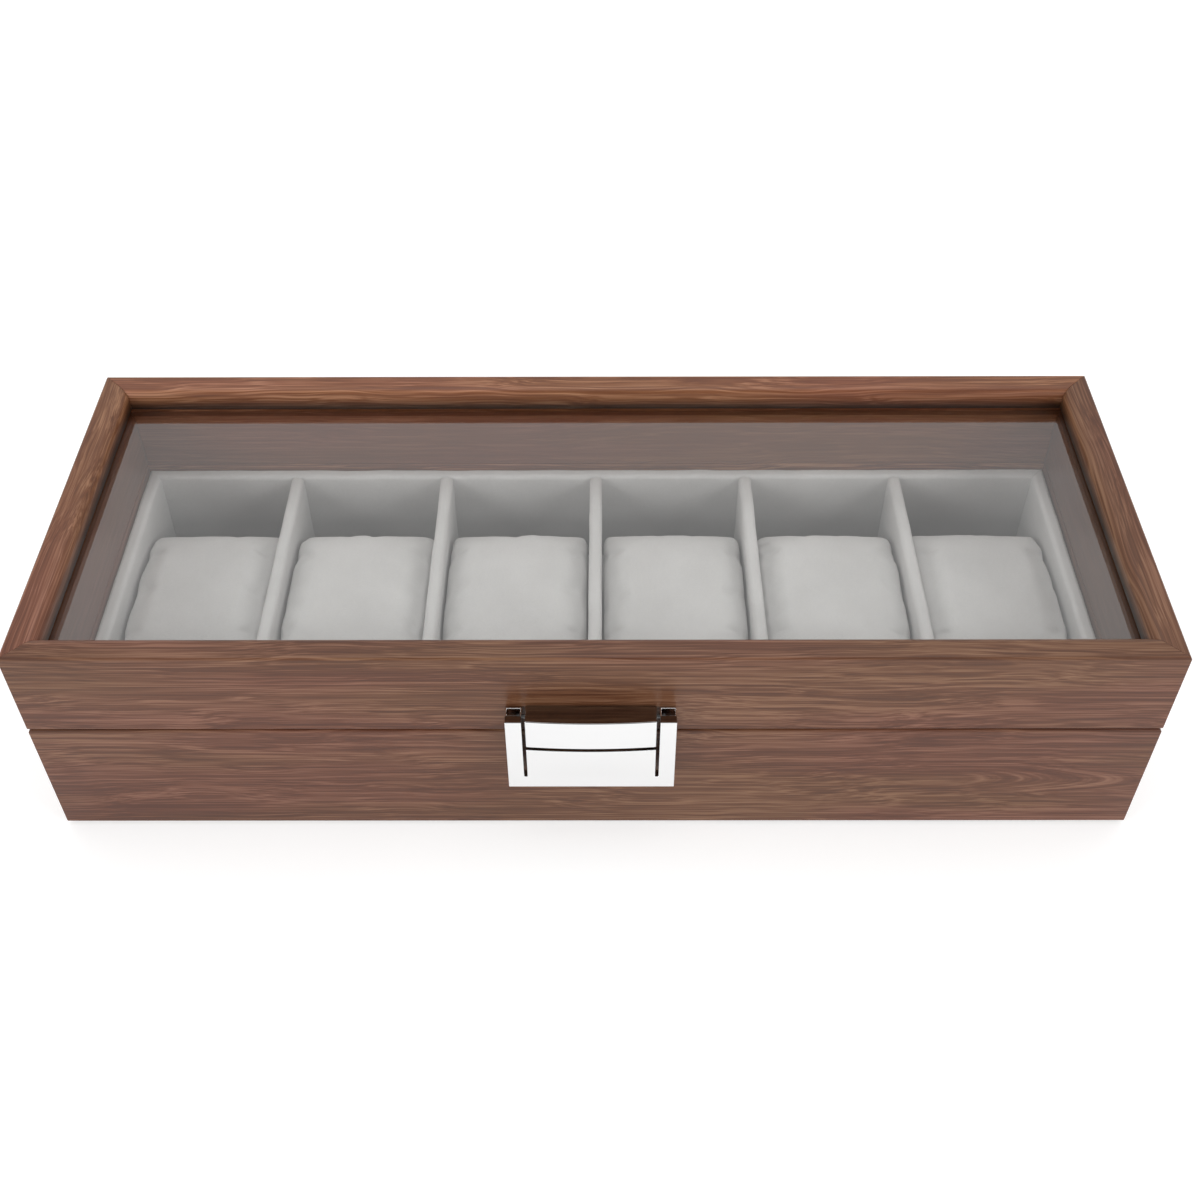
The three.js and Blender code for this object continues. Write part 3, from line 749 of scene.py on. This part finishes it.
def inflate(piece, cap):
    """Fills a pillow by cloth simulation. No point moves further than the cap."""
    start = [vertex.co.copy() for vertex in piece.data.vertices]
    centre = sum(start, Vector()) / len(start)
    for vertex in piece.data.vertices:
        vertex.co = (vertex.co - centre) * SIMULATION_SCALE
    made = piece.modifiers.new("cloth", "CLOTH")
    cloth = made.settings
    cloth.quality = 5
    cloth.mass = 0.15
    cloth.tension_stiffness = 8
    cloth.compression_stiffness = 8
    cloth.shear_stiffness = 4
    cloth.bending_stiffness = 0.3
    cloth.use_pressure = True
    cloth.uniform_pressure_force = PILLOW_PRESSURE
    cloth.effector_weights.gravity = 0
    made.point_cache.frame_end = SIMULATION_FRAMES
    scene = bpy.context.scene
    for step in range(1, SIMULATION_FRAMES + 1):
        scene.frame_set(step)
    apply_modifiers(piece)
    scene.frame_set(1)
    for vertex, before in zip(piece.data.vertices, start):
        move = vertex.co / SIMULATION_SCALE + centre - before
        if move.length > cap * MM:
            move *= cap * MM / move.length
        vertex.co = before + move


def settle(piece, low, high):
    """Keeps a pillow inside the room that its CAD solid holds."""
    for vertex in piece.data.vertices:
        for axis in range(3):
            vertex.co[axis] = min(max(vertex.co[axis], low[axis] * MM), high[axis] * MM)


def make_pillow(number):
    node = f"pillow_{number}"
    low, high = size_of(node)
    bm = bmesh.new()
    tube_of(bm, pillow_rings(low, high))
    piece = new_object(f"{node}_velvet", bm)
    remesh(piece, PILLOW_VOXEL)
    uneven(piece, PILLOW_WAVE, PILLOW_SEED + number)
    inflate(piece, PILLOW_SWELL)
    settle(piece, low, high)
    piece.data.shade_smooth()
    subdivide(piece)
    piece.data.shade_smooth()
    dress(piece, velvet(f"velvet_{node}", VELVET_STEP * number), node, "velvet", node)


# ---------------------------------------------------------------- metal and glass


def bulge(x, half):
    """How far the clasp's curved middle stands out at x."""
    return CLASP_BULGE * (1 - (x / half) ** 2)


def on_top(height, back):
    """Chooses the faces at the top of a clasp piece, in front of its back, which take a painted dark
    reflection.
    """

    def chosen(face):
        here = face.center / MM
        level = face.normal.z > UPWARD
        return level and here.z > height - TOP_BAND and here.y < back

    return chosen


def make_nose(chrome, painted_reflection):
    """The nose: a block with a curved front, fixed to the lid."""
    low, high = size_of("clasp_nose")
    middle = (low.x + high.x) / 2
    half = high.x - middle
    front = low.y + CLASP_BULGE
    section = [(-half, high.y)]
    for i in range(BULGE_STEPS + 1):
        x = -half + 2 * half * i / BULGE_STEPS
        section.append((x, front - bulge(x, half)))
    section.append((half, high.y))
    bm = bmesh.new()
    tube_of(bm, [[(middle + x, y, z) for x, y in section] for z in (low.z, high.z)])
    nose = new_object("clasp_nose_chrome", bm)
    bevel(nose, CLASP_BEVEL, 3)
    dress(nose, chrome, "lid", "chrome", "clasp_nose")
    # Painted reflection: the nose's top faces get dark chrome.
    repaint(nose, painted_reflection, on_top(high.z, high.y))


class FlapPlate:
    """The flap's front plate: a grid of cells, some empty, with two slits beside its curved tongue."""

    def __init__(self, outer, low, high, front, back):
        self.front, self.back = front, back
        self.half = outer - CLASP_ARM - CLASP_SLIT
        inner = outer - CLASP_ARM
        across = [-self.half + 2 * self.half * i / BULGE_STEPS for i in range(BULGE_STEPS + 1)]
        self.xs = [-outer, -inner, *across, inner, outer]
        step = (TONGUE_TOP - CLASP_SLIT_BOTTOM) / TONGUE_ROWS
        tongue = [CLASP_SLIT_BOTTOM + step * i for i in range(TONGUE_ROWS + 1)]
        self.zs = [low, *tongue, high]
        self.bm = bmesh.new()
        self.points = {}

    def filled(self, i, j):
        """Whether the plate covers the cell at column i and row j."""
        last_column = len(self.xs) - 2
        last_row = len(self.zs) - 2
        if not (0 <= i <= last_column and 0 <= j <= last_row):
            return False
        in_bar = j == 0
        in_arm = i in (0, last_column)
        in_tongue = 2 <= i < last_column - 1 and j < last_row
        return in_bar or in_arm or in_tongue

    def point(self, i, j, deep):
        """The point at column i and row j of the front, or of the back if it is deep."""
        if (i, j, deep) not in self.points:
            x, z = self.xs[i], self.zs[j]
            y = self.back if deep else self.front
            top_row = len(self.zs) - 2
            in_tongue = abs(x) <= self.half and 0 < j <= top_row
            if in_tongue and not deep:
                share = (z - CLASP_SLIT_BOTTOM) / (TONGUE_TOP - CLASP_SLIT_BOTTOM)
                y -= bulge(x, self.half) * math.sin(share * math.pi / 2)
            if in_tongue and deep and j == top_row:
                z -= TONGUE_SLOPE
            self.points[i, j, deep] = self.bm.verts.new((x, y, z))
        return self.points[i, j, deep]

    def add_cell(self, i, j):
        """The front and back of a cell, and its sides where the next cell is empty."""
        corners = [(i, j), (i + 1, j), (i + 1, j + 1), (i, j + 1)]
        beside = [(i, j - 1), (i + 1, j), (i, j + 1), (i - 1, j)]
        self.bm.faces.new([self.point(*corner, False) for corner in corners])
        self.bm.faces.new([self.point(*corner, True) for corner in reversed(corners)])
        for k, cell in enumerate(beside):
            if not self.filled(*cell):
                start, end = corners[k], corners[(k + 1) % 4]
                self.bm.faces.new([
                    self.point(*start, True),
                    self.point(*end, True),
                    self.point(*end, False),
                    self.point(*start, False),
                ])

    def build(self):
        for i in range(len(self.xs) - 1):
            for j in range(len(self.zs) - 1):
                if self.filled(i, j):
                    self.add_cell(i, j)
        return self.bm


def make_flap(chrome, painted_reflection):
    """The flap: its front plate, and the hollow arms behind it."""
    low, high = size_of("clasp_flap")
    middle = (low.x + high.x) / 2
    outer = high.x - middle
    inner = outer - CLASP_ARM
    front = size_of("clasp_nose")[0].y + CLASP_BULGE
    back = front + CLASP_SHEET
    bm = FlapPlate(outer, low.z, high.z, front, back).build()
    for sign in (-1, 1):
        left, right = sorted((sign * inner, sign * outer))
        box_in(bm, (left, back - SKIRT_WELD, low.z), (left + SKIRT, high.y, high.z))
        box_in(bm, (right - SKIRT, back - SKIRT_WELD, low.z), (right, high.y, high.z))
        box_in(bm, (left, high.y - TAB, high.z - TAB_HEIGHT), (right, high.y, high.z))
    bm.transform(Matrix.Translation((middle, 0, 0)))
    flap = new_object("clasp_flap_chrome", bm)
    bevel(flap, FLAP_BEVEL, 3)
    dress(flap, chrome, "clasp_flap", "chrome", "clasp_flap")
    # Painted reflection: the flap's top faces get dark chrome.
    repaint(flap, painted_reflection, on_top(high.z, back))


def make_metal():
    metals = {name: plated(name, *values) for name, values in METALS.items()}
    make_nose(metals["chrome"], metals["chrome_painted_dark_reflection"])
    make_flap(metals["chrome"], metals["chrome_painted_dark_reflection"])
    for part in frame["record"]["subparts"]:
        slot = part["material_slot"]
        if slot not in ("nickel", "steel"):
            continue
        finish = "dark_steel" if part["node"] == "clasp_pin" else slot
        node = frame["nodes"][part["node"]]
        node.data.materials.clear()
        node.data.materials.append(metals[finish])
        node.data.shade_smooth()
        node.data.set_sharp_from_angle(angle=math.radians(METAL_SHARP_ANGLE))


def make_panels():
    dress(frame["nodes"]["base_felt_pad"], felt(), "base", "felt")
    panel_foil = foil("foil_bottom_panel", "X", PANEL_SHIFT)
    dress(frame["nodes"]["base_bottom_panel"], panel_foil, "base", "walnut")
    dress(frame["nodes"]["lid_glass"], glass(), "lid", "glass")


# ---------------------------------------------------------------- stage, light and camera


def make_floor():
    """A pale floor that turns up far away, all round, and glows a little so that shadows stay faint."""
    ground = cad_box[0].z / MM
    bend = arc((FLOOR_FLAT, FLOOR_BEND), FLOOR_BEND, -90, 0, FLOOR_BEND_STEPS)
    profile = [*bend, (FLOOR_FLAT + FLOOR_BEND, FLOOR_HEIGHT)]
    bm = bmesh.new()
    angles = [2 * math.pi * i / FLOOR_SIDES for i in range(FLOOR_SIDES)]
    rows = []
    for radius, z in profile:
        ring = [(radius * math.cos(a), radius * math.sin(a), ground + z) for a in angles]
        rows.append([bm.verts.new(point) for point in ring])
    bm.faces.new(rows[0])
    for near, far in zip(rows, rows[1:]):
        for i in range(FLOOR_SIDES):
            j = (i + 1) % FLOOR_SIDES
            bm.faces.new((near[i], near[j], far[j], far[i]))
    floor = new_object("floor", bm)
    s = material_of("floor_paper")
    clouds = s.noise(s.coordinates(scale=FLOOR_CLOUDS))
    floor.data.materials.append(s.surface({
        "Base Color": s.ramp(clouds, FLOOR_TONES),
        "Roughness": 0.9,
        "Specular IOR Level": 0.1,
        "Emission Color": (1, 1, 1, 1),
        "Emission Strength": FLOOR_GLOW,
    }))


def make_world():
    """A bright sky behind the box, and a dim room on the near side."""
    world = bpy.data.worlds.new("studio")
    bpy.context.scene.world = world
    s = Shader(world)
    direction = s.node("TexCoord").outputs["Generated"]
    toward = s.node("VectorMath", {0: direction, 1: SKY_MIDDLE}, operation="DOT_PRODUCT")
    share = s.node("MapRange", {"Value": toward.outputs["Value"], "From Min": -1}).outputs[0]
    background = s.node("Background", {"Color": s.ramp(share, SKY_STOPS)})
    s.node("OutputWorld", {"Surface": background.outputs[0]})


def make_softbox(name, place, size, power):
    """A square light aimed at the box."""
    data = bpy.data.lights.new(name, "AREA")
    data.shape = "SQUARE"
    data.size = size
    data.energy = power
    light = bpy.data.objects.new(name, data)
    light.location = place
    light.rotation_euler = (-Vector(place)).to_track_quat("-Z", "Y").to_euler()
    bpy.context.scene.collection.objects.link(light)


def make_camera():
    yaw, pitch, roll = (math.radians(a) for a in (CAMERA_YAW, CAMERA_PITCH, CAMERA_ROLL))
    ahead = Vector((math.sin(yaw) * math.cos(pitch), math.cos(yaw) * math.cos(pitch), -math.sin(pitch)))
    right = Vector((math.cos(yaw), -math.sin(yaw), 0))
    up = right.cross(ahead)
    across = math.cos(roll) * right + math.sin(roll) * up
    above = math.cos(roll) * up - math.sin(roll) * right
    data = bpy.data.cameras.new("camera")
    data.lens = CAMERA_LENS
    data.sensor_width = CAMERA_SENSOR
    data.clip_start = CAMERA_NEAREST
    camera = bpy.data.objects.new("camera", data)
    turn = Matrix((across, above, -ahead)).transposed().to_4x4()
    camera.matrix_world = Matrix.Translation(Vector(CAMERA_PLACE) * MM) @ turn
    bpy.context.scene.collection.objects.link(camera)
    bpy.context.scene.camera = camera


noise.seed_set(NOISE_SEED)
make_camera()
make_world()
for softbox, (place, size, power) in SOFTBOXES.items():
    make_softbox(softbox, place, size, power)
make_floor()
make_boards()
make_tray()
for number in range(1, PILLOWS + 1):
    make_pillow(number)
make_metal()
make_panels()
bpy.context.scene.view_settings.view_transform = "Standard"
